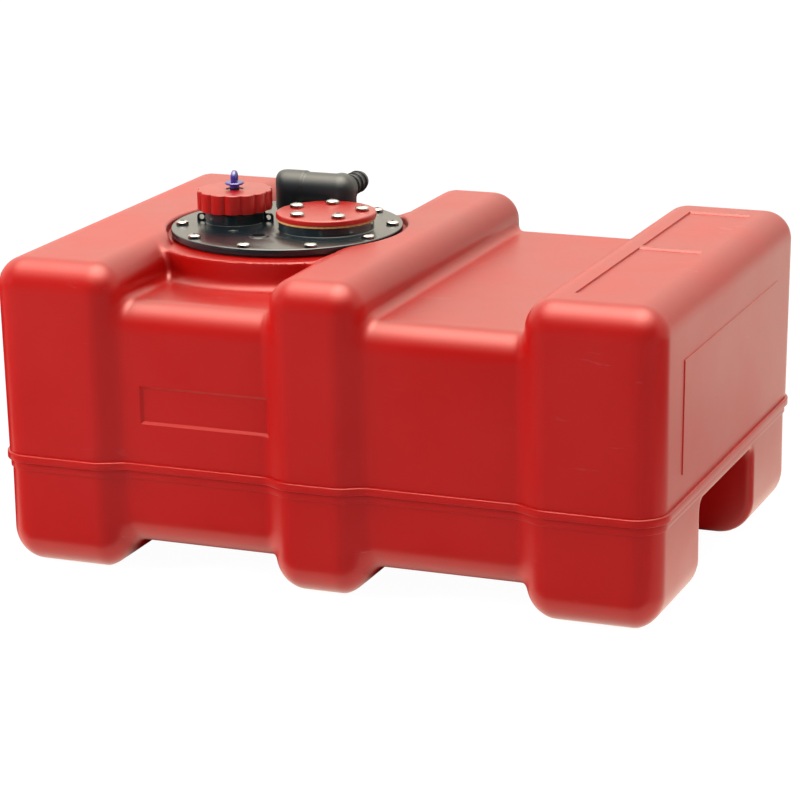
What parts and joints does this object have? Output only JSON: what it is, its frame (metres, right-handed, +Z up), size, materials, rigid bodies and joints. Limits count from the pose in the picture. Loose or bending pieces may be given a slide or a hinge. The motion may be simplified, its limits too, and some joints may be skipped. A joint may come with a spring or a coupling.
{
  "type": "fixed plastic fuel tank",
  "caption": "Red moulded plastic fuel tank with strap recesses, a screwed round flange, a screw filler cap with an air vent screw, a blanked gauge hole and a hose elbow.",
  "frame": {"origin": "on the ground under the middle of the tank", "axes": "+X along the tank towards the panelled end, -Y the long front side, +Z up"},
  "size_m": [0.5, 0.352, 0.2661],
  "materials": {
    "red_plastic": "satin moulded polyethylene",
    "cap_plastic": "satin moulded plastic",
    "black_plastic": "glossy moulded plastic",
    "steel": "polished stainless steel",
    "brass": "plain brass",
    "cork": "cork sheet",
    "rubber": "dull rubber",
    "blue_plastic": "glossy blue-violet plastic",
    "pale_nylon": "plain nylon"
  },
  "bodies": {
    "tank": {"lower_shell": "red_plastic", "upper_shell": "red_plastic", "flange_gasket": "rubber", "flange_plate": "black_plastic", "flange_screw_01": "steel", "flange_screw_02": "steel", "flange_screw_03": "steel", "flange_screw_04": "steel", "flange_screw_05": "steel", "flange_screw_06": "steel", "flange_screw_07": "steel", "flange_screw_08": "steel", "flange_screw_09": "steel", "flange_screw_10": "steel", "seat_insert_01": "brass", "seat_insert_02": "brass", "seat_insert_03": "brass", "seat_insert_04": "brass", "seat_insert_05": "brass", "seat_insert_06": "brass", "seat_insert_07": "brass", "seat_insert_08": "brass", "seat_insert_09": "brass", "seat_insert_10": "brass", "cover_gasket": "cork", "gauge_cover": "cap_plastic", "cover_screw_1": "steel", "cover_screw_2": "steel", "cover_screw_3": "steel", "cover_screw_4": "steel", "cover_screw_5": "steel", "elbow_seal": "rubber", "hose_elbow": "black_plastic", "elbow_nut": "black_plastic", "pickup_tube": "pale_nylon", "pickup_strainer": "pale_nylon"},
    "cap_seal": {"cap_seal": "rubber"},
    "filler_cap": {"filler_cap": "cap_plastic"},
    "vent_seal": {"vent_seal": "rubber"},
    "vent_screw": {"vent_screw": "blue_plastic"}
  },
  "joints": [
    {"name": "cap_lift", "type": "slide", "parent": "tank", "child": "cap_seal", "axis": [0, 0, 1], "range_m": [0, 0.008]},
    {"name": "cap_turn", "type": "hinge", "parent": "cap_seal", "child": "filler_cap", "pos_m": [-0.136, 0, 0.2375], "axis": [0, 0, 1], "range_deg": [0, 720]},
    {"name": "vent_lift", "type": "slide", "parent": "filler_cap", "child": "vent_seal", "axis": [0, 0, 1], "range_m": [0, 0.003]},
    {"name": "vent_turn", "type": "hinge", "parent": "vent_seal", "child": "vent_screw", "pos_m": [-0.136, 0, 0.252], "axis": [0, 0, 1], "range_deg": [0, 720]}
  ],
  "couplings": [
    {"joint": "cap_turn", "follows": "cap_lift", "rad_per_m": 1570.8},
    {"joint": "vent_turn", "follows": "vent_lift", "rad_per_m": 4188.8}
  ]
}
